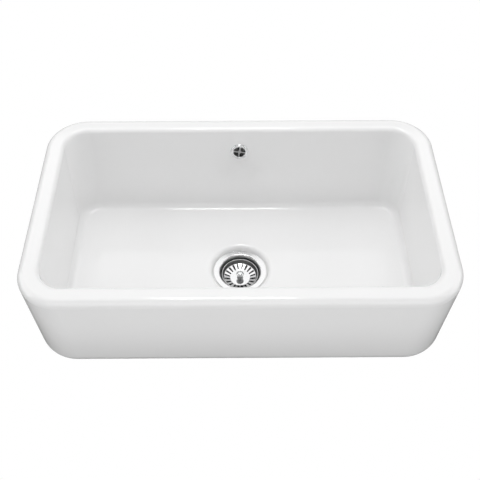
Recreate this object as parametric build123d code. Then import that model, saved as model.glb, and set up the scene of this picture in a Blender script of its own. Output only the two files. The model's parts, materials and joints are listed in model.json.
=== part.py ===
from build123d import *
import os
from math import asin, atan2, cos, sin, tan

# Farmhouse apron front sink with a lift-out basket strainer waste and an overflow, in millimetres.
# +X is to the right, +Y to the rear and +Z up. The origin is the drain axis, on the plane of the
# underside. Every size below can be changed by itself, and the pieces are placed from these values.

# Fireclay body, outside
SINK_WIDTH = 800.0
SINK_DEPTH = 480.0
SINK_HEIGHT = 235.0
DRAIN_FORWARD = 4.0        # the drain axis lies this far in front of the middle of the depth
OUTER_CORNER = 80.0        # plan radius of the outer corners
APRON_LEAN = 20.0          # how far the front is set back at the foot
SIDE_LEAN = 2.0            # the same for the sides and the rear
RIM_ROUND = 14.0           # outer edge of the rim
FOOT_ROUND = 36.0          # lower outer edge

# Fireclay body, bowl
RIM_SIDE = 38.0
RIM_FRONT = 40.0
RIM_REAR = 36.0
LIP_ROUND = 9.0            # inner edge of the rim
INNER_CORNER = 47.0        # plan radius of the bowl's corners
BASE_THICKNESS = 25.0      # at the drain
BOWL_SIDE_LEAN = 4.0       # how far each wall comes in from the rim to the floor
BOWL_FRONT_LEAN = 6.0
BOWL_REAR_LEAN = 28.0
COVE_ROUND = 16.0          # between the walls and the floor
FLOOR_FALL = 3.0           # the floor rises by this much
FLOOR_FALL_REACH = 350.0   # at this distance from the drain
RELIEF_DEPTH = 2.0         # relief in the underside round the waste and under the overflow pipe
RELIEF_RADIUS = 75.0

# Drain recess and the pressed steel cup
STEEL = 1.0
RECESS_DEPTH = 10.0
RECESS_SLOPE = 6.0         # how much wider the recess is at the floor than at its seat
RECESS_ROUND = 9.0         # soft edge where the recess meets the floor
FLANGE_RADIUS = 56.0
FLANGE_EDGE_GAP = 2.0      # from the flange's edge to the wall of the recess
MOUTH_RADIUS = 44.0
MOUTH_BEND = 3.0
CUP_RADIUS = 41.5
CUP_WALL_DEPTH = 23.0      # from the flange down to the shoulder
CUP_DEPTH = 32.0           # from the flange down to the cup's floor
CUP_FLOOR_RADIUS = 34.0
CUP_BEND = 4.0
OUTLET_RADIUS = 24.0       # opening in the cup's floor
ARM_COUNT = 4
ARM_WIDTH = 6.0
HUB_RADIUS = 12.0
HOLE_CLEARANCE = 1.5       # round the cup in the fireclay
FLANGE_SEAL = 1.5

# Under the sink: gasket, waste body, clamp screw and brass insert
GASKET_THICKNESS = 4.0
GASKET_RADIUS = 57.0
BODY_WALL = 3.0
BODY_CLEARANCE = 1.5       # between the cup and the waste body
BODY_FLANGE = 5.0
BODY_DEPTH = 60.0          # straight part below the gasket
FUNNEL_DEPTH = 16.0
OUTLET_THREAD_RADIUS = 23.9
OUTLET_BORE_RADIUS = 19.5
OUTLET_LENGTH = 25.0
OUTLET_COLLAR = 3.0
GUSSET_COUNT = 8
GUSSET_THICKNESS = 3.0
GUSSET_DROP = 14.0
MOULD_EDGE = 1.0           # broken edges of the plastic mouldings
CLAMP_RADIUS = 8.0
CLAMP_HEAD_RADIUS = 11.0
CLAMP_HEAD = 2.5
CLAMP_LENGTH = 32.0
CLAMP_SLOT = 2.5
SOCKET_RADIUS = 5.2        # hollow of the clamp screw, for the basket's spindle
SOCKET_DEPTH = 20.0
INSERT_WALL = 3.0
INSERT_LENGTH = 18.0
INSERT_DROP = 9.0          # from the cup's floor down to the insert
BOSS_WALL = 4.0
WEB_THICKNESS = 3.0
THREAD_HOLE_GAP = 0.3

# Lift-out basket
BASKET_STEEL = 0.8
BASKET_RADIUS = 39.5
BASKET_DROP = 8.5          # from the flange down to the basket's rim
RIM_BEAD = 0.9
BASKET_WALL_RADIUS = 35.0  # foot of the basket's wall
SLOT_RING_DROP = 18.5      # from the flange down to the outer edge of the slotted ring
DISC_RADIUS = 21.0
DISC_DROP = 23.5           # from the flange down to the flat disc
SLOT_COUNT = 20
SLOT_OUTER_WIDTH = 4.6
SLOT_INNER_WIDTH = 3.0
SLOT_OUTER_MARGIN = 1.0    # metal left between a slot and the foot of the wall
SLOT_INNER_MARGIN = 0.6    # and between a slot and the disc
SPINDLE_RADIUS = 2.5
KNOB_HEIGHT = 17.5
KNOB_CAP_RADIUS = 8.0
KNOB_CAP_HEIGHT = 5.5
KNOB_CAP_EDGE = 2.0
KNOB_WAIST_RADIUS = 4.9
KNOB_FOOT_RADIUS = 6.6
PLUG_RADIUS = 29.0
PLUG_LIP = 1.8
PLUG_CENTRE = 2.5
SEAT_GAP = 0.0             # from the plug's lip to the cup's floor, when the basket is down
RETAINER_RADIUS = 15.0
RETAINER_THICKNESS = 1.0
NUT_FLATS = 8.0
NUT_THICKNESS = 3.2
CLIP_LENGTH = 9.0
CLIP_STEEL = 0.4
CLIP_CLEARANCE = 0.2       # between the clip's bulge and the socket
CLIP_SLITS = 6
CLIP_DROP = 5.0            # from the nut down to the clip
SPINDLE_TIP = 3.0

# Overflow
OVERFLOW_DROP = 56.0       # from the rim down to the middle of the rosette
ROSETTE_RADIUS = 19.0
ROSETTE_HEIGHT = 4.0
ROSETTE_OPENING = 12.5
ROSETTE_SHANK = 10.0
ROSETTE_WALL = 1.2
ROSETTE_ARM = 2.8
ROSETTE_HUB = 5.6
ROSETTE_ARM_DEPTH = 2.2
ROSETTE_TURN = -9.0        # degrees, seen from the bowl
SHANK_CLEARANCE = 0.5
SCREW_RADIUS = 2.5
SCREW_HEAD_RADIUS = 4.2
SCREW_HEAD = 2.0
WEDGE_THIN = 2.0           # thinnest part of the wedge-shaped gasket
WEDGE_RADIUS = 24.0
ELBOW_FLANGE_RADIUS = 26.0
ELBOW_FLANGE = 3.5
CHAMBER_RADIUS = 19.0
ELBOW_WALL = 2.5
ELBOW_STANDOFF = 26.5      # pipe axis behind the rear face of the sink
OVERFLOW_INSERT_RADIUS = 4.0
OVERFLOW_INSERT_LENGTH = 10.0
SCREW_BOSS_WALL = 2.0

# Overflow pipe and its two union joints
PIPE_RADIUS = 12.5
PIPE_WALL = 2.0
PIPE_BEND = 50.0
PIPE_DROP = 46.0           # pipe axis below the underside
PIPE_SOCKET = 14.0         # how far the pipe goes into a spigot
PIPE_CLEARANCE = 0.3
SPIGOT_RADIUS = 16.6
UPPER_SPIGOT_DROP = 48.0   # from the chamber's middle down to the end of the spigot
BRANCH_REACH = 78.0        # from the drain axis to the end of the branch
WASHER_THICKNESS = 3.5
NUT_WALL = 3.0
NUT_END = 3.0
NUT_GRIP = 17.0            # length of nut over the spigot
NUT_RIBS = 12
NUT_RIB_RADIUS = 1.5
THREAD_GAP = 0.1           # between a union nut and the spigot's thread

# Levels and places worked out from the sizes above
front_y = DRAIN_FORWARD - SINK_DEPTH / 2
rear_y = DRAIN_FORWARD + SINK_DEPTH / 2
bowl_foot_z = BASE_THICKNESS - FLOOR_FALL
floor_slope = FLOOR_FALL / FLOOR_FALL_REACH
seat_z = BASE_THICKNESS - RECESS_DEPTH
flange_z = seat_z + FLANGE_SEAL + STEEL
seat_radius = FLANGE_RADIUS + FLANGE_EDGE_GAP
hole_radius = MOUTH_RADIUS + STEEL / 2 + HOLE_CLEARANCE
cup_floor_z = flange_z - CUP_DEPTH
gasket_z = RELIEF_DEPTH - GASKET_THICKNESS
body_inner_radius = CUP_RADIUS + STEEL / 2 + BODY_CLEARANCE
body_outer_radius = body_inner_radius + BODY_WALL
funnel_z = gasket_z - BODY_DEPTH
outlet_z = funnel_z - FUNNEL_DEPTH
outlet_end_z = outlet_z - OUTLET_LENGTH
insert_radius = CLAMP_RADIUS + INSERT_WALL
insert_z = cup_floor_z - INSERT_DROP
boss_radius = insert_radius + BOSS_WALL
basket_rim_z = flange_z - BASKET_DROP
slot_ring_z = flange_z - SLOT_RING_DROP
disc_z = flange_z - DISC_DROP
plug_z = disc_z - BASKET_STEEL
retainer_z = plug_z - PLUG_CENTRE
nut_z = retainer_z - RETAINER_THICKNESS
clip_z = nut_z - NUT_THICKNESS - CLIP_DROP
pipe_axis_z = -PIPE_DROP

# The overflow's own frame: its origin is on the sloping rear wall of the bowl, and its +Z points
# square out of that wall into the bowl.
bowl_wall_height = SINK_HEIGHT - bowl_foot_z
wall_lean = atan2(BOWL_REAR_LEAN, bowl_wall_height)
overflow_z = SINK_HEIGHT - OVERFLOW_DROP
overflow_y = rear_y - RIM_REAR - OVERFLOW_DROP * tan(wall_lean)
overflow = Plane(
    origin=(0, overflow_y, overflow_z), x_dir=(1, 0, 0), z_dir=(0, -cos(wall_lean), sin(wall_lean))
)
back_lean = atan2(SIDE_LEAN, SINK_HEIGHT)
back_y = rear_y - SIDE_LEAN * OVERFLOW_DROP / SINK_HEIGHT
wedge_angle = wall_lean + back_lean
wall_depth = (back_y - overflow_y) * cos(back_lean) / cos(wedge_angle)
elbow_depth = wall_depth + WEDGE_THIN + WEDGE_RADIUS * tan(wedge_angle)
pipe_y = back_y + ELBOW_STANDOFF
chamber_middle = (pipe_y - overflow_y) / cos(wall_lean)
chamber_depth = chamber_middle + CHAMBER_RADIUS
chamber_middle_z = overflow_z - chamber_middle * sin(wall_lean)
upper_end_z = chamber_middle_z - UPPER_SPIGOT_DROP
upper_port = Plane(origin=(0, pipe_y, upper_end_z), x_dir=(1, 0, 0), z_dir=(0, 0, -1))
lower_port = Plane(origin=(0, BRANCH_REACH, pipe_axis_z), x_dir=(1, 0, 0), z_dir=(0, 1, 0))


def section(z, half_width, front, rear, corner):
    """Rounded rectangle at height z, level with the ground."""
    outline = RectangleRounded(2 * half_width, rear - front, corner)
    return Pos(0, (front + rear) / 2, z) * outline


def turned(*corners):
    """Solid turned about the Z axis, from the (radius, height) corners of its section."""
    outline = make_face(Polyline(*corners, close=True))
    return revolve(Plane.XZ * outline, Axis.Z)


def pressed(corners, bends, thickness):
    """Sheet metal turned about the Z axis: its middle line runs through the corners."""
    line = FilletPolyline(*corners, radius=bends)
    return revolve(Plane.XZ * trace(line, thickness), Axis.Z)


def ring(inner, outer, low, high):
    """Plain ring about the Z axis."""
    return turned((inner, low), (outer, low), (outer, high), (inner, high))


def dome(radius, low, high):
    """Arc from (radius, low) up to the axis at height high, where it is level."""
    ball_radius = (radius**2 + (high - low)**2) / (2 * (high - low))
    half = asin(radius / ball_radius) / 2
    return ThreePointArc(
        (radius, low), (ball_radius * sin(half), high - ball_radius * (1 - cos(half))), (0, high)
    )


def edges_at(shape, z):
    """Edges that lie level at height z."""
    return shape.edges().filter_by_position(Axis.Z, z - 0.01, z + 0.01)


def sink_bowl():
    """The fireclay body: apron, rolled rim, bowl, drain recess, overflow hole and underside relief."""
    half_width = SINK_WIDTH / 2
    foot = section(0, half_width - SIDE_LEAN, front_y + APRON_LEAN, rear_y - SIDE_LEAN, OUTER_CORNER)
    top = section(SINK_HEIGHT, half_width, front_y, rear_y, OUTER_CORNER)
    body = loft([foot, top], ruled=True)
    body = fillet(edges_at(body, SINK_HEIGHT), RIM_ROUND)
    body = fillet(edges_at(body, 0), FOOT_ROUND)

    body -= bowl_space()
    rim_face = body.faces().sort_by(Axis.Z)[-1]
    body = fillet(rim_face.inner_wires()[0].edges(), LIP_ROUND)

    body -= turned(
        (0, seat_z - BASE_THICKNESS), (hole_radius, seat_z - BASE_THICKNESS), (hole_radius, seat_z),
        (seat_radius, seat_z), (seat_radius + RECESS_SLOPE, BASE_THICKNESS + FLOOR_FALL),
        (0, BASE_THICKNESS + FLOOR_FALL),
    )
    recess_edge = body.edges().filter_by_position(Axis.Z, BASE_THICKNESS, BASE_THICKNESS + FLOOR_FALL)
    recess_edge = recess_edge.filter_by(lambda e: e.bounding_box().max.X < seat_radius + RECESS_SLOPE)
    body = fillet(recess_edge, RECESS_ROUND)

    relief = Circle(RELIEF_RADIUS) + Pos(0, SINK_DEPTH / 2) * Rectangle(2 * RELIEF_RADIUS, SINK_DEPTH)
    body -= extrude(relief, RELIEF_DEPTH)
    hole = Cylinder(ROSETTE_OPENING + ROSETTE_WALL + SHANK_CLEARANCE, 4 * RIM_REAR)
    return body - overflow * hole


def bowl_space():
    """The space inside the bowl, with its floor falling to the drain from all sides."""
    half_width = SINK_WIDTH / 2 - RIM_SIDE
    front = front_y + RIM_FRONT
    rear = rear_y - RIM_REAR
    low = section(
        bowl_foot_z, half_width - BOWL_SIDE_LEAN, front + BOWL_FRONT_LEAN, rear - BOWL_REAR_LEAN, INNER_CORNER
    )
    high = section(SINK_HEIGHT, half_width, front, rear, INNER_CORNER)
    space = loft([low, high], ruled=True)
    space &= turned(
        (0, BASE_THICKNESS), (SINK_WIDTH, BASE_THICKNESS + floor_slope * SINK_WIDTH),
        (SINK_WIDTH, 2 * SINK_HEIGHT), (0, 2 * SINK_HEIGHT),
    )
    floor_face = space.faces().sort_by(Axis.Z)[0]
    return fillet(floor_face.edges(), COVE_ROUND)


def strainer_cup():
    """Pressed steel flange and cup, with a hub on arms that the clamp screw pulls down."""
    middle = flange_z - STEEL / 2
    line = [
        (FLANGE_RADIUS, middle), (MOUTH_RADIUS, middle), (CUP_RADIUS, middle - CUP_WALL_DEPTH),
        (CUP_FLOOR_RADIUS, middle - CUP_DEPTH), (OUTLET_RADIUS, middle - CUP_DEPTH),
    ]
    cup = pressed(line, [MOUTH_BEND, CUP_BEND, CUP_BEND], STEEL)
    arm = Pos(OUTLET_RADIUS / 2, 0) * Rectangle(OUTLET_RADIUS + STEEL, ARM_WIDTH)
    spider = Sketch() + Circle(HUB_RADIUS) + PolarLocations(0, ARM_COUNT, 45) * arm
    spider -= Circle(CLAMP_RADIUS + THREAD_HOLE_GAP)
    return cup + Pos(0, 0, cup_floor_z - STEEL) * extrude(spider, STEEL)


def waste_body():
    """Moulded waste body: cup-shaped chamber, threaded outlet, overflow branch and screw boss."""
    collar_radius = OUTLET_THREAD_RADIUS + OUTLET_COLLAR
    low = gasket_z - BODY_FLANGE
    body = turned(
        (body_inner_radius, gasket_z), (GASKET_RADIUS, gasket_z), (GASKET_RADIUS, low + MOULD_EDGE),
        (GASKET_RADIUS - MOULD_EDGE, low), (body_outer_radius, low), (body_outer_radius, funnel_z),
        (collar_radius, outlet_z), (collar_radius, outlet_z - OUTLET_COLLAR),
        (OUTLET_THREAD_RADIUS, outlet_z - OUTLET_COLLAR), (OUTLET_THREAD_RADIUS, outlet_end_z + MOULD_EDGE),
        (OUTLET_THREAD_RADIUS - MOULD_EDGE, outlet_end_z), (OUTLET_BORE_RADIUS, outlet_end_z),
        (OUTLET_BORE_RADIUS, outlet_z), (body_inner_radius, funnel_z),
    )
    gusset_reach = GASKET_RADIUS - 2 * MOULD_EDGE
    inside = body_outer_radius - BODY_WALL / 2
    gusset = make_face(Polyline((inside, low), (gusset_reach, low), (inside, low - GUSSET_DROP), close=True))
    gusset = extrude(Plane.XZ * gusset, GUSSET_THICKNESS / 2, both=True)
    body += PolarLocations(0, GUSSET_COUNT, 180 / GUSSET_COUNT) * gusset

    boss_high = insert_z + INSERT_WALL / 2
    boss_low = insert_z - INSERT_LENGTH - INSERT_WALL / 2
    reach = body_inner_radius + BODY_WALL / 2
    web = Pos(reach / 2, 0, (boss_high + boss_low) / 2) * Box(reach, WEB_THICKNESS, boss_high - boss_low)
    boss = Pos(0, 0, boss_low) * extrude(Circle(boss_radius), boss_high - boss_low)
    body += PolarLocations(0, ARM_COUNT, 45) * web
    body += boss
    body -= ring(0, CLAMP_RADIUS + THREAD_HOLE_GAP, boss_low, boss_high)
    body -= ring(0, insert_radius, insert_z - INSERT_LENGTH, boss_high)

    start = body_inner_radius - BRANCH_REACH
    outside = lower_port * ring(0, SPIGOT_RADIUS, start, 0)
    body += outside - ring(0, body_inner_radius, 2 * outlet_end_z, -outlet_end_z)
    body -= lower_port * ring(0, PIPE_RADIUS - PIPE_WALL, start - BODY_WALL, 0)
    return body - lower_port * ring(0, PIPE_RADIUS + PIPE_CLEARANCE, -PIPE_SOCKET, 0)


def clamp_screw():
    """Hollow screw that pulls the cup and the waste body together. Its bore takes the spindle."""
    head_z = cup_floor_z + CLAMP_HEAD
    tip_z = cup_floor_z - CLAMP_LENGTH
    screw = turned(
        (0, tip_z), (CLAMP_RADIUS - 1, tip_z), (CLAMP_RADIUS, tip_z + 1), (CLAMP_RADIUS, cup_floor_z),
        (CLAMP_HEAD_RADIUS, cup_floor_z), (CLAMP_HEAD_RADIUS, head_z - 0.5),
        (CLAMP_HEAD_RADIUS - 0.5, head_z), (SOCKET_RADIUS + 0.5, head_z), (SOCKET_RADIUS, head_z - 0.5),
        (SOCKET_RADIUS, head_z - SOCKET_DEPTH), (0, head_z - SOCKET_DEPTH),
    )
    slot = Box(3 * CLAMP_HEAD_RADIUS, CLAMP_SLOT, CLAMP_HEAD)
    return screw - Pos(0, 0, head_z) * slot


def basket():
    """Pressed strainer basket with a beaded rim, a ring of radial slots and a flat disc."""
    half = BASKET_STEEL / 2
    bead_radius = BASKET_RADIUS - RIM_BEAD
    line = [
        (bead_radius, basket_rim_z - RIM_BEAD), (BASKET_WALL_RADIUS, slot_ring_z - half),
        (DISC_RADIUS, disc_z - half), (SPINDLE_RADIUS + THREAD_HOLE_GAP, disc_z - half),
    ]
    shell = pressed(line, [1.6, 2.0], BASKET_STEEL)
    bead = Plane.XZ * Pos(bead_radius, basket_rim_z - RIM_BEAD) * Circle(RIM_BEAD)
    shell += revolve(bead, Axis.Z)
    inner_reach = DISC_RADIUS + SLOT_INNER_MARGIN + SLOT_INNER_WIDTH / 2
    outer_reach = BASKET_WALL_RADIUS - SLOT_OUTER_MARGIN - SLOT_OUTER_WIDTH / 2
    inner = Pos(inner_reach, 0) * Circle(SLOT_INNER_WIDTH / 2)
    outer = Pos(outer_reach, 0) * Circle(SLOT_OUTER_WIDTH / 2)
    slot = extrude(make_hull((inner + outer).edges()), DISC_DROP)
    slots = PolarLocations(0, SLOT_COUNT, 180 / SLOT_COUNT) * (Pos(0, 0, disc_z - DISC_DROP / 2) * slot)
    return shell - slots


def basket_seal():
    """Rubber plug under the basket: an umbrella that closes on the cup's floor."""
    lip_z = cup_floor_z + SEAT_GAP
    neck = DISC_RADIUS - 1
    hole = SPINDLE_RADIUS + THREAD_HOLE_GAP
    return turned(
        (hole, plug_z), (neck, plug_z), (neck + 1, plug_z - 1), (PLUG_RADIUS, lip_z + PLUG_LIP),
        (PLUG_RADIUS, lip_z), (PLUG_RADIUS - 2 * PLUG_LIP, lip_z), (neck, retainer_z), (hole, retainer_z),
    )


def seal_retainer():
    """Steel washer that spreads the spindle nut's pull on the rubber plug."""
    return ring(SPINDLE_RADIUS + THREAD_HOLE_GAP, RETAINER_RADIUS, nut_z, retainer_z)


def spindle_nut():
    """Hexagon nut on the spindle, under the retainer."""
    nut = RegularPolygon(NUT_FLATS / 2, 6, major_radius=False) - Circle(SPINDLE_RADIUS)
    return Pos(0, 0, nut_z - NUT_THICKNESS) * extrude(nut, NUT_THICKNESS)


def basket_spindle():
    """Spindle through knob, basket, plug and nut, with a groove for the spring clip."""
    top = disc_z + KNOB_HEIGHT / 2
    groove = SPINDLE_RADIUS - 2 * CLIP_STEEL
    low = clip_z - CLIP_LENGTH
    return turned(
        (0, top), (SPINDLE_RADIUS, top), (SPINDLE_RADIUS, clip_z), (groove, clip_z), (groove, low),
        (SPINDLE_RADIUS, low), (SPINDLE_RADIUS, low - SPINDLE_TIP / 2),
        (SPINDLE_RADIUS / 2, low - SPINDLE_TIP), (0, low - SPINDLE_TIP),
    )


def spindle_clip():
    """Bowed spring sleeve that grips in the clamp screw's socket."""
    bulge = SOCKET_RADIUS - CLIP_CLEARANCE - CLIP_STEEL / 2
    end = SPINDLE_RADIUS - CLIP_STEEL
    low = clip_z - CLIP_LENGTH + CLIP_STEEL
    high = clip_z - CLIP_STEEL
    bow = ThreePointArc((end, high), (bulge, (high + low) / 2), (end, low))
    sleeve = revolve(Plane.XZ * trace(bow, CLIP_STEEL), Axis.Z)
    slit_length = CLIP_LENGTH * 0.6
    slit = Pos(SOCKET_RADIUS / 2, 0, (high + low) / 2) * Box(SOCKET_RADIUS, 2 * CLIP_STEEL, slit_length)
    return sleeve - PolarLocations(0, CLIP_SLITS) * slit


def basket_knob():
    """Waisted knob with a domed cap, bored for the spindle."""
    foot = disc_z
    cap = foot + KNOB_HEIGHT - KNOB_CAP_HEIGHT
    edge_radius = KNOB_CAP_RADIUS - KNOB_CAP_EDGE / 4
    side = ThreePointArc((KNOB_FOOT_RADIUS, foot), (KNOB_WAIST_RADIUS, (foot + cap) / 2), (edge_radius, cap))
    edge = ThreePointArc(
        (edge_radius, cap), (KNOB_CAP_RADIUS, cap + KNOB_CAP_EDGE / 2), (edge_radius, cap + KNOB_CAP_EDGE)
    )
    top = dome(edge_radius, cap + KNOB_CAP_EDGE, foot + KNOB_HEIGHT)
    inside = Polyline((0, foot + KNOB_HEIGHT), (0, foot), (KNOB_FOOT_RADIUS, foot))
    knob = revolve(Plane.XZ * make_face([side, edge, top, inside]), Axis.Z)
    return knob - ring(0, SPINDLE_RADIUS, foot, foot + KNOB_HEIGHT / 2)


def overflow_rosette():
    """Domed ring with a four-armed cross and a short shank that centres it in the hole."""
    shank = ROSETTE_OPENING + ROSETTE_WALL
    inner_z = ROSETTE_HEIGHT * 0.6
    crown = ROSETTE_OPENING + (ROSETTE_RADIUS - ROSETTE_OPENING) * 0.4
    shoulder_z = ROSETTE_HEIGHT - 0.5
    top = (crown, ROSETTE_HEIGHT)
    outside = ThreePointArc((ROSETTE_RADIUS, 0.8), (crown + 2.2, shoulder_z), top)
    bend = ThreePointArc(top, (ROSETTE_OPENING + 0.7, shoulder_z), (ROSETTE_OPENING, inner_z))
    rest = Polyline(
        (ROSETTE_OPENING, inner_z), (ROSETTE_OPENING, -ROSETTE_SHANK), (shank, -ROSETTE_SHANK), (shank, 0),
        (ROSETTE_RADIUS, 0), (ROSETTE_RADIUS, 0.8),
    )
    rosette = revolve(Plane.XZ * make_face([outside, bend, rest]), Axis.Z)
    reach = ROSETTE_OPENING + ROSETTE_WALL / 2
    cross = Rectangle(2 * reach, ROSETTE_ARM) + Rectangle(ROSETTE_ARM, 2 * reach)
    inside_corners = cross.vertices().sort_by_distance((0, 0))[:4]
    cross = fillet(inside_corners, ROSETTE_HUB - ROSETTE_ARM / 2)
    cross -= Circle(SCREW_RADIUS + THREAD_HOLE_GAP)
    grille = Pos(0, 0, inner_z - ROSETTE_ARM_DEPTH) * extrude(cross, ROSETTE_ARM_DEPTH)
    return overflow * (Rot(0, 0, ROSETTE_TURN) * (rosette + grille))


def overflow_screw():
    """Long screw from the hub of the cross to the insert in the elbow."""
    hub_z = ROSETTE_HEIGHT * 0.6
    tip_z = -elbow_depth - ELBOW_FLANGE - OVERFLOW_INSERT_LENGTH
    head = dome(SCREW_HEAD_RADIUS, hub_z, hub_z + SCREW_HEAD)
    shank = Polyline(
        (0, hub_z + SCREW_HEAD), (0, tip_z), (SCREW_RADIUS, tip_z), (SCREW_RADIUS, hub_z),
        (SCREW_HEAD_RADIUS, hub_z),
    )
    screw = revolve(Plane.XZ * make_face([head, shank]), Axis.Z)
    slot = Pos(0, 0, hub_z + SCREW_HEAD) * Box(3 * SCREW_HEAD_RADIUS, 1, SCREW_HEAD)
    return overflow * (screw - Rot(0, 0, 45) * slot)


def overflow_gasket():
    """Wedge-shaped rubber ring between the upright rear face and the square-on elbow."""
    inner = ROSETTE_OPENING + ROSETTE_WALL
    blank = overflow * ring(inner, WEDGE_RADIUS, -elbow_depth, -wall_depth + WEDGE_RADIUS)
    outward = (0, cos(back_lean), -sin(back_lean))
    rear_face = Plane(origin=(0, back_y, overflow_z), x_dir=(1, 0, 0), z_dir=outward)
    return split(blank, bisect_by=rear_face, keep=Keep.TOP)


def overflow_elbow():
    """Moulded elbow: flange and round chamber behind the wall, with a spigot straight down."""
    high = -elbow_depth
    back = -chamber_depth
    inner = CHAMBER_RADIUS - ELBOW_WALL
    shell = turned(
        (0, back), (CHAMBER_RADIUS - 3, back), (CHAMBER_RADIUS, back + 3),
        (CHAMBER_RADIUS, high - ELBOW_FLANGE), (ELBOW_FLANGE_RADIUS - MOULD_EDGE, high - ELBOW_FLANGE),
        (ELBOW_FLANGE_RADIUS, high - ELBOW_FLANGE + MOULD_EDGE), (ELBOW_FLANGE_RADIUS, high), (0, high),
    )
    spigot = upper_port * ring(0, SPIGOT_RADIUS, -UPPER_SPIGOT_DROP, 0)
    body = overflow * shell + spigot
    body -= overflow * ring(0, inner, back + ELBOW_WALL, high)
    body -= upper_port * ring(0, PIPE_RADIUS - PIPE_WALL, -UPPER_SPIGOT_DROP, 0)
    body -= upper_port * ring(0, PIPE_RADIUS + PIPE_CLEARANCE, -PIPE_SOCKET, 0)
    boss_high = high - ELBOW_FLANGE
    boss = ring(0, OVERFLOW_INSERT_RADIUS + SCREW_BOSS_WALL, back + ELBOW_WALL / 2, boss_high)
    boss -= ring(0, OVERFLOW_INSERT_RADIUS, boss_high - OVERFLOW_INSERT_LENGTH, boss_high)
    return body + overflow * boss


def overflow_insert():
    """Brass insert in the elbow's boss."""
    high = -elbow_depth - ELBOW_FLANGE
    return overflow * ring(SCREW_RADIUS, OVERFLOW_INSERT_RADIUS, high - OVERFLOW_INSERT_LENGTH, high)


def overflow_pipe():
    """Rigid pipe down behind the sink and forward under it, with one bend."""
    top = (0, pipe_y, upper_end_z + PIPE_SOCKET)
    corner = (0, pipe_y, pipe_axis_z)
    end = (0, BRANCH_REACH - PIPE_SOCKET, pipe_axis_z)
    route = FilletPolyline(top, corner, end, radius=PIPE_BEND)
    bore = Circle(PIPE_RADIUS) - Circle(PIPE_RADIUS - PIPE_WALL)
    return sweep(Plane(origin=top, z_dir=(0, 0, -1)) * bore, path=route)


def union_nut(port):
    """Ribbed union nut over a spigot, with the pipe through its end."""
    bore = SPIGOT_RADIUS + THREAD_GAP
    outer = bore + NUT_WALL
    pipe_hole = PIPE_RADIUS + PIPE_CLEARANCE
    nut = turned(
        (bore, -NUT_GRIP), (outer, -NUT_GRIP), (outer, WASHER_THICKNESS + NUT_END - MOULD_EDGE),
        (outer - MOULD_EDGE, WASHER_THICKNESS + NUT_END), (pipe_hole, WASHER_THICKNESS + NUT_END),
        (pipe_hole, WASHER_THICKNESS), (bore, WASHER_THICKNESS),
    )
    rib = Pos(outer, 0, -NUT_GRIP) * extrude(Circle(NUT_RIB_RADIUS), NUT_GRIP)
    return port * (nut + PolarLocations(0, NUT_RIBS) * rib)


def pipe_washer(port):
    """Tapered rubber washer that the union nut squeezes on to the pipe."""
    return port * turned(
        (PIPE_RADIUS, 0), (SPIGOT_RADIUS, 0), (SPIGOT_RADIUS, WASHER_THICKNESS * 0.6),
        (SPIGOT_RADIUS - 1, WASHER_THICKNESS), (PIPE_RADIUS, WASHER_THICKNESS),
    )


def flange_seal():
    """Flat seal between the cup's flange and its seat, clear of the bend at the mouth."""
    inner = MOUTH_RADIUS + MOUTH_BEND + STEEL
    return ring(inner, FLANGE_RADIUS - STEEL, seat_z, seat_z + FLANGE_SEAL)


pieces = {
    "sink_bowl": sink_bowl(),
    "strainer_cup": strainer_cup(),
    "flange_seal": flange_seal(),
    "under_gasket": ring(hole_radius, GASKET_RADIUS, gasket_z, RELIEF_DEPTH),
    "waste_body": waste_body(),
    "clamp_screw": clamp_screw(),
    "threaded_insert": ring(CLAMP_RADIUS, insert_radius, insert_z - INSERT_LENGTH, insert_z),
    "basket": basket(),
    "basket_seal": basket_seal(),
    "seal_retainer": seal_retainer(),
    "spindle_nut": spindle_nut(),
    "basket_spindle": basket_spindle(),
    "spindle_clip": spindle_clip(),
    "basket_knob": basket_knob(),
    "overflow_rosette": overflow_rosette(),
    "overflow_screw": overflow_screw(),
    "overflow_gasket": overflow_gasket(),
    "overflow_elbow": overflow_elbow(),
    "overflow_insert": overflow_insert(),
    "overflow_pipe": overflow_pipe(),
    "upper_pipe_nut": union_nut(upper_port),
    "lower_pipe_nut": union_nut(lower_port),
    "upper_pipe_washer": pipe_washer(upper_port),
    "lower_pipe_washer": pipe_washer(lower_port),
}

os.makedirs("parts", exist_ok=True)
for name, piece in pieces.items():
    export_step(piece, f"parts/{name}.step")
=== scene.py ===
import json
from math import cos, pi, radians, sin

import bmesh
import bpy
from mathutils import Matrix, Vector


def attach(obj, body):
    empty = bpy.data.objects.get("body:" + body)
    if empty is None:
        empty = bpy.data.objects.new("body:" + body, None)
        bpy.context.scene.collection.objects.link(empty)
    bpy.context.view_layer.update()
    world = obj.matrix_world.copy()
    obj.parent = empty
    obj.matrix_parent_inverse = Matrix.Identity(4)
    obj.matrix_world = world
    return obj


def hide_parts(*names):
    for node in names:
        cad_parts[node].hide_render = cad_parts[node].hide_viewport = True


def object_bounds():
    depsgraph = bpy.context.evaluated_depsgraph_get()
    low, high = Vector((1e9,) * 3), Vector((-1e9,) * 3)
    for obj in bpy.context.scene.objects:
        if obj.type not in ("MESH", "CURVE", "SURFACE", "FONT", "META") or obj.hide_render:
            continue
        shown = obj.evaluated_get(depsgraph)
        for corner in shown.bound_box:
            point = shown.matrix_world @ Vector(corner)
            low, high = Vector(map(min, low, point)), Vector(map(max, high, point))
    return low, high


# Farmhouse apron front sink with its basket strainer waste and overflow. Lengths are in metres, in
# the frame of the model: +X to the right, +Y to the rear, +Z up, and the drain axis through the
# origin. The fineness of a pattern is in grains per metre.

MM = 0.001

# Camera, as fitted to the photograph's outlines
CAMERA_TARGET = Vector((0, 4, 117.5)) * MM
CAMERA_DISTANCE = 1490.5 * MM
CAMERA_ELEVATION = 50.5        # degrees, as are the next two
CAMERA_YAW = 0.27
CAMERA_ROLL = -0.11
CAMERA_FOCAL_PIXELS = 727.6
IMAGE_PIXELS = 480
SENSOR_WIDTH = 36.0            # in millimetres

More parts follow.
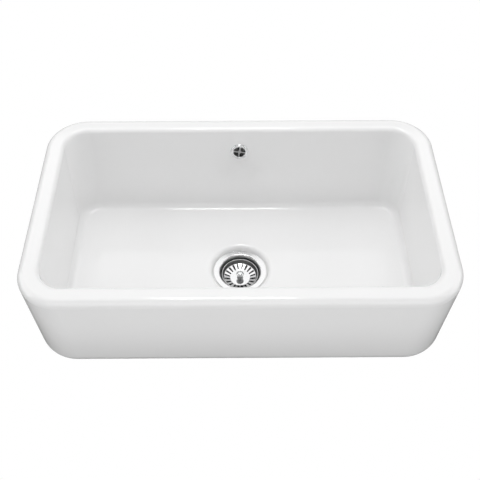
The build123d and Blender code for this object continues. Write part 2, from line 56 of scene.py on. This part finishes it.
# White gloss glaze, and the biscuit that stays bare on the underside
GLAZE_WHITE = (0.895, 0.895, 0.895, 1)
GLAZE_WHITEST = (0.905, 0.905, 0.905, 1)
GLAZE_ROUGHNESS = 0.07
GLAZE_IOR = 1.52
GLAZE_BUMP = 2 * MM
RIPPLE_SHARE = 0.03            # of the height of the glaze's long swell
GRIT_SHARE = 0.12              # the same, for the biscuit's grit
BISCUIT_DARK = (0.66, 0.62, 0.55, 1)
BISCUIT_PALE = (0.74, 0.71, 0.65, 1)
BISCUIT_ROUGHER = 0.68         # than the glaze
BISCUIT_HEIGHT = 0.5 * MM      # bare up to this height
BISCUIT_RAGGED = 1.2 * MM      # and up to this much higher in places
BISCUIT_EDGE = 0.3 * MM

# Stainless steel
STEEL_BRIGHT = (0.72, 0.72, 0.722, 1)
# satin steel, with a darker colour as painted shade
STEEL_SATIN_SHADED = (0.62, 0.62, 0.62, 1)
# painted shade: a dark copy of the steel under the basket and on faces that don't face up
STEEL_PAINTED_SHADE = (0.26, 0.26, 0.26, 1)
STEEL_ROUGHNESS = 0.09
STEEL_RINGS_ROUGHER = 0.05
STEEL_CLOUD_ROUGHER = 0.03
STEEL_SATIN_ROUGHER = 0.26
STEEL_BUMP = 0.03 * MM
SATIN_SHADE_EDGE = 1.5 * MM          # over which bright turns to satin with painted shade down the cup
SATIN_SHADE_RIM_EDGE = 1.0 * MM      # and outwards on the basket
# over which the painted shade sets in down the cup
SHADE_EDGE = 3.0 * MM
SHADE_SLOPE = (0.3, 0.6)         # the upward share of a face's direction: full painted shade below the first, none above the second
CUP_SATIN_SHADE_BELOW = 15.5 * MM    # the cup is bright on its flange and round the mouth, satin with painted shade below
CUP_SHADE_BELOW = 7.0 * MM      # and darker with painted shade below the basket's rim
BASKET_SATIN_SHADE_BEYOND = 34.6 * MM  # the basket is bright on its disc and its bars, satin with painted shade beyond
RING_RISE = 0.73               # how far rings move with height, so that upright faces show them too

# Chromium plate
CHROME_BRIGHT = (0.80, 0.805, 0.81, 1)
# satin chrome, with a darker colour as painted shade on the knob's waist and the rosette's cross
CHROME_SATIN_SHADED = (0.40, 0.402, 0.405, 1)
CHROME_ROUGHNESS = 0.03
KNOB_ROUGHNESS = 0.22
ROSETTE_ROUGHNESS = 0.16
CHROME_CLOUD_ROUGHER = 0.05
CHROME_SATIN_ROUGHER = 0.2
CHROME_BUMP = 0.05 * MM
KNOB_SATIN_SHADE_BELOW = 6.6 * MM    # the knob is bright on its cap, satin with painted shade below it
KNOB_SATIN_SHADE_EDGE = 0.8 * MM
ROSETTE_HEIGHT = 179 * MM      # its middle
ROSETTE_SATIN_SHADE_WITHIN = 12.2 * MM  # the rosette is bright on its ring, satin with painted shade on the cross within it
ROSETTE_SATIN_SHADE_EDGE = 0.5 * MM

# For steel or chrome that is bright all over
NEVER_BELOW = -1.0
NEVER_BEYOND = 1.0
NEVER_WITHIN = -1.0

# Black rubber
RUBBER_BLACK = (0.016, 0.016, 0.017, 1)
RUBBER_BLOOM = (0.035, 0.035, 0.036, 1)
RUBBER_ROUGHNESS = 0.52
RUBBER_GRAIN_ROUGHER = 0.14
RUBBER_BUMP = 0.08 * MM
BLOOM_BETWEEN = (0.45, 0.75)   # none where the cloud is under the first, full over the second

# White mouldings
PLASTIC_WHITE = (0.78, 0.78, 0.77, 1)
PLASTIC_WHITEST = (0.83, 0.83, 0.81, 1)
PLASTIC_ROUGHNESS = 0.36
PLASTIC_GRAIN_ROUGHER = 0.10
PLASTIC_FLOW_ROUGHER = 0.05
PLASTIC_GRAIN_SHARE = 0.15     # of the height of the parting line
PLASTIC_BUMP = 0.12 * MM
PARTING_WIDTH = 0.25 * MM      # from the middle
PARTING_EDGE = 0.1 * MM

# Brass inserts
BRASS_BRIGHT = (0.72, 0.52, 0.22, 1)
BRASS_TARNISHED = (0.56, 0.40, 0.18, 1)
BRASS_ROUGHNESS = 0.22
BRASS_RINGS_ROUGHER = 0.08
BRASS_TARNISH_ROUGHER = 0.1
BRASS_BUMP = 0.05 * MM

# White foam seal
FOAM_WALLS = (0.66, 0.66, 0.64, 1)
FOAM_CELLS = (0.80, 0.80, 0.78, 1)
FOAM_ROUGHNESS = 0.85
FOAM_BUMP = 0.15 * MM

# Waste outlet and its thread
OUTLET_RADIUS = 23.9 * MM      # over the thread
OUTLET_PLAIN = 2 * MM          # above the thread, cut back with it
OUTLET_TOLERANCE = 0.1 * MM    # how near to its radius a point of the outlet lies
WELD_DISTANCE = 0.001 * MM     # at which points of loose triangles are joined
THREAD_HEIGHT = 0.8 * MM
THREAD_ROOT = OUTLET_RADIUS - THREAD_HEIGHT
THREAD_PITCH = 3.6 * MM
THREAD_TOP = -82.6 * MM
THREAD_BOTTOM = -101.0 * MM
THREAD_LENGTH = THREAD_TOP - THREAD_BOTTOM
THREAD_RIDGE = 1.1 * MM        # radius of its round section
THREAD_RUN_OUT = 0.06          # share of the thread over which each end fades
THREAD_POINTS = 64             # in a turn
RIDGE_POINTS = 12              # round its section
SHARP_BEND = 30                # degrees between two faces whose edge is kept sharp

# Studio
WHITE = (1, 1, 1, 1)
FLOOR_SIDE = 24.0
FLOOR_DROP = 1 * MM            # below the lowest point of the part
FLOOR_GREY = (0.25, 0.25, 0.25, 1)
FLOOR_ROUGHNESS = 0.9
ROOM_LIGHT = 0.10              # from all sides; the camera itself sees white

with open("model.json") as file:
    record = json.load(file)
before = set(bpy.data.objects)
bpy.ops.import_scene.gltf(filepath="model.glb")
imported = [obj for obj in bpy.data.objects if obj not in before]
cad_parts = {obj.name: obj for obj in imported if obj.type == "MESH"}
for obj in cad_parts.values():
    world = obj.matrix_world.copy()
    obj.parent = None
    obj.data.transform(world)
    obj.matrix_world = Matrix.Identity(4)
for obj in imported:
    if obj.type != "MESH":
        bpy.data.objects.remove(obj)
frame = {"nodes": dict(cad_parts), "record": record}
cad_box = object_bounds()
nodes = frame["nodes"]


# ---------------------------------------------------------------- shader maths

class Wire:
    """One output of a node, with arithmetic that adds the Math nodes to its tree."""

    def __init__(self, nodes, socket):
        self.nodes = nodes
        self.socket = socket

    def math(self, operation, *others):
        return self.nodes.node("ShaderNodeMath", {"operation": operation}, self, *others)

    def __add__(self, other):
        return self.math("ADD", other)

    def __radd__(self, other):
        return self.math("ADD", other)

    def __sub__(self, other):
        return self.math("SUBTRACT", other)

    def __rsub__(self, other):
        return self.nodes.node("ShaderNodeMath", {"operation": "SUBTRACT"}, other, self)

    def __mul__(self, other):
        return self.math("MULTIPLY", other)

    def __rmul__(self, other):
        return self.math("MULTIPLY", other)

    def __truediv__(self, other):
        return self.math("DIVIDE", other)

    def __rtruediv__(self, other):
        return self.nodes.node("ShaderNodeMath", {"operation": "DIVIDE"}, other, self)

    def absolute(self):
        return self.math("ABSOLUTE")

    def maximum(self, other):
        return self.math("MAXIMUM", other)

    def minimum(self, other):
        return self.math("MINIMUM", other)

    def step_between(self, low, high):
        """0 below low, 1 above high, and a smooth step between."""
        return self.nodes.node(
            "ShaderNodeMapRange", {"interpolation_type": "SMOOTHSTEP"}, output="Result",
            Value=self, From_Min=low, From_Max=high)

    def step(self, width):
        """0 where the value is negative and 1 where it is positive, over this width."""
        return self.step_between(-width / 2, width / 2)


class Nodes:
    """A node tree that is built by calls."""

    def __init__(self, tree):
        self.tree = tree

    def node(self, kind, settings=None, *values, output=0, at=None, **named):
        """Adds a node and gives one output of it, where it has one.

        Its settings are set first, then its inputs: in order, by number in at, and by name.
        """
        made = self.tree.nodes.new(kind)
        for key, value in (settings or {}).items():
            setattr(made, key, value)
        for number, value in [*enumerate(values), *(at or {}).items()]:
            self.feed(made.inputs[number], value)
        for name, value in named.items():
            self.feed(made.inputs[name.replace("_", " ")], value)
        return Wire(self, made.outputs[output]) if made.outputs else None

    def feed(self, socket, value):
        """Links a wire, or each wire of a list, to an input, or sets the input to a plain value."""
        if isinstance(value, Wire):
            self.tree.links.new(value.socket, socket)
        elif isinstance(value, list):
            for wire in value:
                self.feed(socket, wire)
        else:
            socket.default_value = value


class Paint(Nodes):
    """A material and the node tree that makes it."""

    def __init__(self, name):
        self.material = bpy.data.materials.new(name)
        self.material.use_nodes = True
        super().__init__(self.material.node_tree)
        self.shader = self.tree.nodes["Principled BSDF"]

    def set(self, **inputs):
        """Sets or links inputs of the shader, named with underscores for spaces."""
        for name, value in inputs.items():
            self.feed(self.shader.inputs[name.replace("_", " ")], value)
        return self

    def place(self):
        """Object coordinates."""
        return self.node("ShaderNodeTexCoord", output="Object")

    def noise(self, place, fineness, detail=2.0, roughness=0.5):
        return self.node(
            "ShaderNodeTexNoise", Vector=place, Scale=fineness, Detail=detail, Roughness=roughness)

    def vector_maths(self, operation, *values, output=0):
        return self.node("ShaderNodeVectorMath", {"operation": operation}, *values, output=output)

    def along(self, axis, vector):
        """One number of a vector."""
        return self.node("ShaderNodeSeparateXYZ", None, vector, output=axis)

    def length(self, vector):
        return self.vector_maths("LENGTH", vector, output="Value")

    def radius(self, place):
        """Distance from the Z axis."""
        return self.length(self.vector_maths("MULTIPLY", place, (1, 1, 0)))

    def rings(self, place, fineness):
        """Fine rings about the Z axis, uneven in strength, on flat and on upright faces alike."""
        reach = self.radius(place) + self.along("Z", place) * RING_RISE
        level = self.node("ShaderNodeCombineXYZ", None, reach, 0, 0)
        return self.noise(level, fineness, detail=4.0, roughness=0.7)

    def mix_colour(self, share, first, second):
        """Mixes two colours: only the first at 0, only the second at 1.

        The node's colours share their names with its numbers, so they are found by number.
        """
        return self.node(
            "ShaderNodeMix", {"data_type": "RGBA"}, share, output=2, at={6: first, 7: second})

    def bump(self, height, strength, distance):
        """Raises the surface by the height, from 0 to 1, times the distance, at this strength."""
        normal = self.node(
            "ShaderNodeBump", Strength=strength, Distance=distance, Height=height)
        return self.set(Normal=normal)


class Shape(Nodes):
    """A Geometry Nodes tree with named inputs for its sizes."""

    def __init__(self, name, **sizes):
        super().__init__(bpy.data.node_groups.new(name, "GeometryNodeTree"))
        sockets = self.tree.interface
        sockets.new_socket("Geometry", in_out="INPUT", socket_type="NodeSocketGeometry")
        sockets.new_socket("Geometry", in_out="OUTPUT", socket_type="NodeSocketGeometry")
        self.sizes = {}
        for label, value in sizes.items():
            kind = "NodeSocketInt" if isinstance(value, int) else "NodeSocketFloat"
            name = label.replace("_", " ")
            socket = sockets.new_socket(name, in_out="INPUT", socket_type=kind)
            self.sizes[socket.identifier] = value

    def size(self, name):
        """One of the tree's named inputs."""
        return self.node("NodeGroupInput", output=name)

    def finish(self, geometry, material):
        """Ends the tree: instances made real, and one material on all of it."""
        real = self.node("GeometryNodeRealizeInstances", None, geometry)
        dressed = self.node("GeometryNodeSetMaterial", None, real, Material=material)
        self.node("NodeGroupOutput", None, dressed)

    def make(self, piece):
        """Turns the tree's result into the piece's own plain mesh, with smooth shading."""
        modifier = piece.modifiers.new("shape", "NODES")
        modifier.node_group = self.tree
        for identifier, value in self.sizes.items():
            modifier[identifier] = value
        shaped = piece.evaluated_get(bpy.context.evaluated_depsgraph_get())
        result = bpy.data.meshes.new_from_object(shaped)
        piece.modifiers.clear()
        result.name = piece.name
        result.shade_smooth()
        result.set_sharp_from_angle(angle=radians(SHARP_BEND))
        piece.data = result


def add(name, data):
    """Adds an object to the scene."""
    made = bpy.data.objects.new(name, data)
    bpy.context.scene.collection.objects.link(made)
    return made


# ---------------------------------------------------------------- finishes

def glaze():
    """White gloss glaze over fireclay, faintly uneven, with the bare biscuit it was fired on."""
    paint = Paint("white_glaze")
    place = paint.place()
    ragged = paint.noise(place, fineness=55, detail=3.0)
    edge = BISCUIT_HEIGHT + ragged * BISCUIT_RAGGED
    bare = (edge - paint.along("Z", place)).step(BISCUIT_EDGE)
    mottle = paint.noise(place, fineness=30, detail=4.0, roughness=0.6)
    biscuit = paint.mix_colour(mottle, BISCUIT_DARK, BISCUIT_PALE)
    cloud = paint.noise(place, fineness=6, detail=1.0)
    fired = paint.mix_colour(cloud, GLAZE_WHITE, GLAZE_WHITEST)
    paint.set(Base_Color=paint.mix_colour(bare, fired, biscuit), IOR=GLAZE_IOR)
    paint.set(Roughness=GLAZE_ROUGHNESS + bare * BISCUIT_ROUGHER)
    swell = paint.noise(place, fineness=14, detail=1.0)
    ripple = paint.noise(place, fineness=110, detail=1.0)
    grit = paint.noise(place, fineness=1400)
    relief = (swell + ripple * RIPPLE_SHARE) * (1 - bare) + grit * bare * GRIT_SHARE
    return paint.bump(relief, strength=0.05, distance=GLAZE_BUMP).material


def steel(name, satin_shade_below=NEVER_BELOW, satin_shade_beyond=NEVER_BEYOND, shade_below=NEVER_BELOW,
          shade_downward_faces=False):
    """Stainless steel with the fine rings that spinning and polishing about the axis leave.

    It is bright, but satin with painted shade below the first height and beyond this radius, and
    deeper painted shade below the second height and, where asked, on faces that don't face up.
    """
    paint = Paint(name)
    place = paint.place()
    rings = paint.rings(place, fineness=2600)
    cloud = paint.noise(place, fineness=160)
    height = paint.along("Z", place)
    satin_shade_outside = (paint.radius(place) - satin_shade_beyond).step(SATIN_SHADE_RIM_EDGE)
    satin_and_shade = (satin_shade_below - height).step(SATIN_SHADE_EDGE).maximum(satin_shade_outside)
    # painted shade, below the given height and, where asked, on faces that don't face up
    painted_shade = (shade_below - height).step(SHADE_EDGE)
    if shade_downward_faces:
        facing = paint.node("ShaderNodeNewGeometry", output="Normal")
        painted_shade = painted_shade.maximum(1 - paint.along("Z", facing).step_between(*SHADE_SLOPE))
    colour = paint.mix_colour(satin_and_shade, STEEL_BRIGHT, STEEL_SATIN_SHADED)
    paint.set(Base_Color=paint.mix_colour(painted_shade, colour, STEEL_PAINTED_SHADE), Metallic=1.0)
    grain = rings * STEEL_RINGS_ROUGHER + cloud * STEEL_CLOUD_ROUGHER
    paint.set(Roughness=STEEL_ROUGHNESS + grain + satin_and_shade * STEEL_SATIN_ROUGHER)
    return paint.bump(rings, strength=0.10, distance=STEEL_BUMP).material


def chrome(name, roughness=CHROME_ROUGHNESS, satin_shade_below=NEVER_BELOW, satin_shade_within=NEVER_WITHIN):
    """Chromium plate: a mirror with the faintest cloud of wiping marks.

    It is satin with painted shade below this height or within this distance of the rosette's axis.
    """
    paint = Paint(name)
    place = paint.place()
    cloud = paint.noise(place, fineness=220, detail=3.0)
    from_rosette = paint.vector_maths("SUBTRACT", place, (0, 0, ROSETTE_HEIGHT))
    reach = paint.length(paint.vector_maths("MULTIPLY", from_rosette, (1, 0, 1)))
    satin_shade_inside = (satin_shade_within - reach).step(ROSETTE_SATIN_SHADE_EDGE)
    satin_and_shade = (satin_shade_below - paint.along("Z", place)).step(KNOB_SATIN_SHADE_EDGE).maximum(satin_shade_inside)
    paint.set(Base_Color=paint.mix_colour(satin_and_shade, CHROME_BRIGHT, CHROME_SATIN_SHADED), Metallic=1.0)
    paint.set(Roughness=roughness + cloud * CHROME_CLOUD_ROUGHER + satin_and_shade * CHROME_SATIN_ROUGHER)
    return paint.bump(cloud, strength=0.03, distance=CHROME_BUMP).material


def rubber():
    """Moulded black rubber, matt, with a little bloom."""
    paint = Paint("black_rubber")
    place = paint.place()
    grain = paint.noise(place, fineness=900, detail=3.0)
    bloom = paint.noise(place, fineness=45, detail=3.0).step_between(*BLOOM_BETWEEN)
    paint.set(Base_Color=paint.mix_colour(bloom, RUBBER_BLACK, RUBBER_BLOOM))
    paint.set(Roughness=RUBBER_ROUGHNESS + grain * RUBBER_GRAIN_ROUGHER)
    return paint.bump(grain, strength=0.2, distance=RUBBER_BUMP).material


def plastic():
    """White polypropylene moulding: satin, finely grained, with the parting line of its mould."""
    paint = Paint("white_moulding")
    place = paint.place()
    grain = paint.noise(place, fineness=1100)
    flow = paint.noise(place, fineness=28)
    parting = (PARTING_WIDTH - paint.along("X", place).absolute()).step(PARTING_EDGE)
    rougher = grain * PLASTIC_GRAIN_ROUGHER + flow * PLASTIC_FLOW_ROUGHER
    paint.set(Base_Color=paint.mix_colour(flow, PLASTIC_WHITE, PLASTIC_WHITEST))
    paint.set(Roughness=PLASTIC_ROUGHNESS + rougher)
    relief = grain * PLASTIC_GRAIN_SHARE + parting
    return paint.bump(relief, strength=0.5, distance=PLASTIC_BUMP).material


def brass():
    """Turned brass, with tool rings and a light tarnish."""
    paint = Paint("turned_brass")
    place = paint.place()
    rings = paint.rings(place, fineness=1500)
    tarnish = paint.noise(place, fineness=120, detail=4.0)
    paint.set(Base_Color=paint.mix_colour(tarnish, BRASS_BRIGHT, BRASS_TARNISHED), Metallic=1.0)
    rougher = rings * BRASS_RINGS_ROUGHER + tarnish * BRASS_TARNISH_ROUGHER
    paint.set(Roughness=BRASS_ROUGHNESS + rougher)
    return paint.bump(rings, strength=0.2, distance=BRASS_BUMP).material


def foam():
    """White closed-cell foam."""
    paint = Paint("white_foam")
    cells = paint.node("ShaderNodeTexVoronoi", Vector=paint.place(), Scale=1600)
    paint.set(Base_Color=paint.mix_colour(cells, FOAM_CELLS, FOAM_WALLS), Roughness=FOAM_ROUGHNESS)
    return paint.bump(cells, strength=0.4, distance=FOAM_BUMP).material


slot_finishes = {
    "glaze": glaze(),
    "stainless": steel("polished_steel"),
    "chrome": chrome("bright_chrome"),
    "rubber_black": rubber(),
    "plastic_white": plastic(),
    "brass": brass(),
    "foam_white": foam(),
}
own_finishes = {
    "strainer_cup": steel(
        "pressed_cup_steel", satin_shade_below=CUP_SATIN_SHADE_BELOW, shade_below=CUP_SHADE_BELOW),
    "basket": steel("pressed_basket_steel", satin_shade_beyond=BASKET_SATIN_SHADE_BEYOND, shade_downward_faces=True),
    "basket_knob": chrome(
        "knob_chrome", roughness=KNOB_ROUGHNESS, satin_shade_below=KNOB_SATIN_SHADE_BELOW),
    "overflow_rosette": chrome(
        "rosette_chrome", roughness=ROSETTE_ROUGHNESS, satin_shade_within=ROSETTE_SATIN_SHADE_WITHIN),
}
own_finishes["overflow_screw"] = own_finishes["overflow_rosette"]
for part in frame["record"]["subparts"]:
    finish = own_finishes.get(part["node"], slot_finishes[part["material_slot"]])
    nodes[part["node"]].material_slots[0].material = finish


# ---------------------------------------------------------------- waste outlet

def cut_to_root(mesh):
    """Joins a copied waste body's loose triangles and cuts its outlet back to the thread's root."""
    shell = bmesh.new()
    shell.from_mesh(mesh)
    bmesh.ops.remove_doubles(shell, verts=shell.verts, dist=WELD_DISTANCE)
    for point in shell.verts:
        reach = point.co.xy.length
        on_outlet = abs(reach - OUTLET_RADIUS) < OUTLET_TOLERANCE
        if on_outlet and point.co.z < THREAD_TOP + OUTLET_PLAIN:
            point.co.xy *= THREAD_ROOT / reach
    shell.to_mesh(mesh)
    shell.free()


def thread_tree(material):
    """Winds a round ridge on to the outlet, let into it so far that only its crest stands proud."""
    tree = Shape(
        "outlet_thread", Root_Radius=THREAD_ROOT, Crest_Height=THREAD_HEIGHT,
        Ridge_Radius=THREAD_RIDGE, Top=THREAD_TOP, Length=THREAD_LENGTH,
        Turns=THREAD_LENGTH / THREAD_PITCH, Points_per_Turn=THREAD_POINTS, Run_Out=THREAD_RUN_OUT)
    reach = tree.size("Root Radius") + tree.size("Crest Height") - tree.size("Ridge Radius")
    helix = tree.node(
        "GeometryNodeCurveSpiral", Resolution=tree.size("Points per Turn"),
        Rotations=tree.size("Turns"), Start_Radius=reach, End_Radius=reach,
        Height=tree.size("Length"))
    low = tree.node("ShaderNodeCombineXYZ", None, 0, 0, tree.size("Top") - tree.size("Length"))
    helix = tree.node("GeometryNodeTransform", None, helix, Translation=low)
    done = tree.node("GeometryNodeSplineParameter", output="Factor")
    fade = (done.minimum(1 - done) / tree.size("Run Out")).minimum(1)
    helix = tree.node("GeometryNodeSetCurveRadius", None, helix, Radius=fade)
    ridge = tree.node(
        "GeometryNodeCurvePrimitiveCircle", Resolution=RIDGE_POINTS,
        Radius=tree.size("Ridge Radius"))
    thread = tree.node("GeometryNodeCurveToMesh", None, helix, Profile_Curve=ridge, Fill_Caps=True)
    joined = tree.node("GeometryNodeJoinGeometry", None, [tree.size("Geometry"), thread])
    tree.finish(joined, material)
    return tree


def threaded_waste_body():
    """The waste body with its thread, which the model leaves as a plain cylinder."""
    source = nodes["waste_body"]
    mesh = source.data.copy()
    cut_to_root(mesh)
    piece = add("threaded_waste_body", mesh)
    thread_tree(source.material_slots[0].material).make(piece)
    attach(piece, "sink")
    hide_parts("waste_body")


threaded_waste_body()


# ---------------------------------------------------------------- studio

def floor():
    """Pale floor: plain white to the camera, grey to every other ray, and clear from below."""
    mesh = bpy.data.meshes.new("studio_floor")
    low = cad_box[0].z - FLOOR_DROP
    side = FLOOR_SIDE / 2
    corners = [(-side, -side, low), (side, -side, low), (side, side, low), (-side, side, low)]
    mesh.from_pydata(corners, [], [(0, 1, 2, 3)])
    paint = Paint("studio_floor")
    paint.set(Base_Color=FLOOR_GREY, Roughness=FLOOR_ROUGHNESS)
    seen = paint.node("ShaderNodeLightPath", output="Is Camera Ray")
    grey = Wire(paint, paint.shader.outputs["BSDF"])
    white = paint.node("ShaderNodeEmission", Color=WHITE, Strength=1.0)
    shown = paint.node("ShaderNodeMixShader", None, seen, grey, white)
    below = paint.node("ShaderNodeNewGeometry", output="Backfacing")
    clear = paint.node("ShaderNodeBsdfTransparent")
    shown = paint.node("ShaderNodeMixShader", None, below, shown, clear)
    paint.feed(paint.tree.nodes["Material Output"].inputs["Surface"], shown)
    mesh.materials.append(paint.material)
    add("studio_floor", mesh)


def softbox(name, place, target, size, brightness, mirrored=True):
    """Soft, even light that the camera never sees, and that reflections show only if mirrored."""
    width, depth = size
    light = bpy.data.lights.new(name, "AREA")
    light.shape = "RECTANGLE"
    light.size = width
    light.size_y = depth
    light.energy = brightness * pi * width * depth
    lamp = add(name, light)
    lamp.location = place
    towards = Vector(target) - Vector(place)
    lamp.rotation_euler = towards.to_track_quat("-Z", "Y").to_euler()
    lamp.visible_camera = False
    lamp.visible_glossy = mirrored


def lamps():
    """Softboxes over, beside, before and behind the sink, and two low strips before its apron."""
    softbox("overhead", place=(0, 0.95, 1.9), target=(0, 0.95, 0), size=(2.4, 2.2),
            brightness=1.25)
    softbox("flash_head", place=(-0.04, 0.2, 1.7), target=(0, 0, 0), size=(0.5, 0.5),
            brightness=7.3)
    for side in (-1, 1):
        softbox(f"overhead_wing_{side}", place=(1.55 * side, 1.25, 1.9),
                target=(1.55 * side, 1.25, 0), size=(0.7, 1.6), brightness=1.25)
        softbox(f"side_{side}", place=(1.5 * side, 0, 0.8), target=(0, 0, 0.1), size=(1.2, 1.0),
                brightness=1.71)
    softbox("behind", place=(0, 2.4, 0.6), target=(0, 0.24, 0.1), size=(2.4, 0.7),
            brightness=0.9)
    softbox("middle_front", place=(0, -1.5, 0.9), target=(0, 0, 0.1), size=(2.4, 0.5),
            brightness=1.3)
    softbox("high_front", place=(0, -1.0, 1.0), target=(0, -0.25, 0.1), size=(2.0, 0.3),
            brightness=0.9)
    softbox("rim_strip", place=(0, -0.5, 0.26), target=(0, -0.236, 0.22), size=(1.5, 0.08),
            brightness=1.1)
    softbox("apron_strip", place=(0, -0.5, 0.1), target=(0, -0.236, 0.2), size=(1.6, 0.12),
            brightness=1.6, mirrored=False)


def air():
    """The room: a faint light from all sides, and plain white to the camera."""
    world = bpy.data.worlds.new("studio")
    world.use_nodes = True
    room = Nodes(world.node_tree)
    seen = room.node("ShaderNodeLightPath", output="Is Camera Ray")
    background = room.tree.nodes["Background"]
    room.feed(background.inputs["Color"], WHITE)
    room.feed(background.inputs["Strength"], seen * (1 - ROOM_LIGHT) + ROOM_LIGHT)
    bpy.context.scene.world = world
    bpy.context.scene.view_settings.view_transform = "Standard"


def camera():
    """The camera at the photograph's angle."""
    lens = bpy.data.cameras.new("camera")
    lens.sensor_width = SENSOR_WIDTH
    lens.lens = CAMERA_FOCAL_PIXELS / IMAGE_PIXELS * SENSOR_WIDTH
    eye = add("camera", lens)
    yaw, tilt = radians(CAMERA_YAW), radians(CAMERA_ELEVATION)
    forward = Vector((sin(yaw) * cos(tilt), cos(yaw) * cos(tilt), -sin(tilt)))
    upright = forward.to_track_quat("-Z", "Y").to_matrix().to_4x4()
    turn = upright @ Matrix.Rotation(radians(CAMERA_ROLL), 4, "Z")
    eye.matrix_world = Matrix.Translation(CAMERA_TARGET - forward * CAMERA_DISTANCE) @ turn
    bpy.context.scene.camera = eye


floor()
lamps()
air()
camera()
